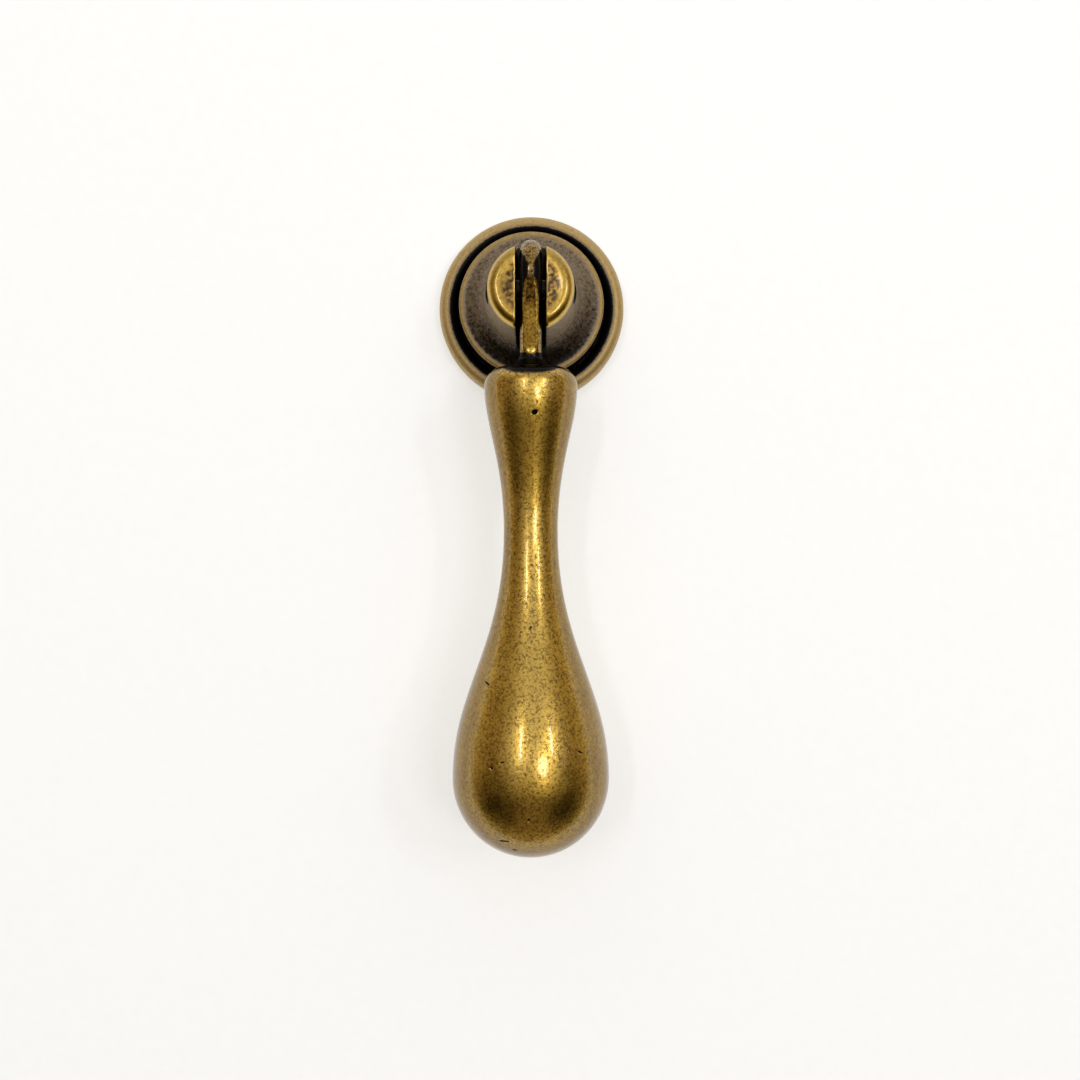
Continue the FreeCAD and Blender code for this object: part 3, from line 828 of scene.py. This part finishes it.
def make_tent():
    """A round light tent over the front, which reflections see and the camera does not."""
    seam = 0.01
    mesh = bpy.data.meshes.new("light_tent")
    shell = bmesh.new()
    bmesh.ops.create_uvsphere(shell, u_segments=48, v_segments=24, radius=STAGE_RADIUS)
    behind = [vertex for vertex in shell.verts if vertex.co.y > seam]
    bmesh.ops.delete(shell, geom=behind, context="VERTS")
    shell.to_mesh(mesh)
    shell.free()
    tent = bpy.data.objects.new("light_tent", mesh)
    scene.collection.objects.link(tent)
    mesh.materials.append(tent_cloth())
    tent.visible_camera = False


def make_lamp(name, around, above, wide, high, brightness):
    """A soft lamp that faces the pull, with its place and its size in degrees as seen from there."""
    turn, rise = math.radians(around), math.radians(above)
    level = math.cos(rise)
    towards = Vector((math.sin(turn) * level, -math.cos(turn) * level, math.sin(rise)))
    data = bpy.data.lights.new(name, "AREA")
    data.shape = "RECTANGLE"
    data.size = LAMP_DISTANCE * math.radians(wide)
    data.size_y = LAMP_DISTANCE * math.radians(high)
    data.energy = brightness * math.pi * data.size * data.size_y
    data.color = LAMP_COLOUR
    lamp = bpy.data.objects.new(name, data)
    scene.collection.objects.link(lamp)
    lamp.location = LAMP_AIM + LAMP_DISTANCE * towards
    lamp.rotation_euler = (-towards).to_track_quat("-Z", "Y").to_euler()
    lamp.visible_camera = False


def make_world():
    """White where it is seen, and dimmer as light from the room."""
    world = bpy.data.worlds.new("room")
    scene.world = world
    world.use_nodes = True
    tree = world.node_tree
    tree.nodes.clear()
    level = calculate(tree, "MULTIPLY_ADD", seen_directly(tree), 1 - ROOM_LIGHT, ROOM_LIGHT)
    background = add_node(tree, "ShaderNodeBackground", Color=(1, 1, 1, 1), Strength=level)
    add_node(tree, "ShaderNodeOutputWorld", Surface=background.outputs[0])


def make_camera():
    """The photograph's view: straight on, level with the drop's waist."""
    data = bpy.data.cameras.new("camera")
    data.sensor_width = 36
    data.lens = data.sensor_width * FOCAL_PIXELS / PHOTO_PIXELS
    data.clip_start = MM
    camera = bpy.data.objects.new("camera", data)
    scene.collection.objects.link(camera)
    camera.location = CAMERA_PLACE
    camera.rotation_euler = (math.pi / 2, 0, 0)
    scene.camera = camera


# Putting it together

def dress(piece, body, node, material):
    """Puts a casting in the place of its solid and gives it its finish."""
    piece.data.materials.clear()
    piece.data.materials.append(material)
    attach(piece, body)
    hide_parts(node)


# Both brass finishes carry painted shade and highlights in their per-point tones
rosette_brass = antique_brass("rosette_brass_with_painted_light", unevenness=0.42, graininess=0.25, speckle=0.15)
drop_brass = antique_brass("drop_brass_with_painted_light", unevenness=0.5, graininess=1.3, speckle=0.4)
dress(make_rosette(), "base", "rosette", rosette_brass)
dress(make_drop(), "pendant", "drop", drop_brass)
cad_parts["hinge_pin"].material_slots[0].material = dark_steel("pin_steel_finish")

make_surface()
make_tent()
make_world()
make_lamp("left_strip", around=-15, above=11.5, wide=3, high=16, brightness=15)
make_lamp("right_strip", around=32, above=12, wide=3, high=13, brightness=15)
make_lamp("low_lamp", around=18, above=0, wide=13, high=8, brightness=8)
make_camera()
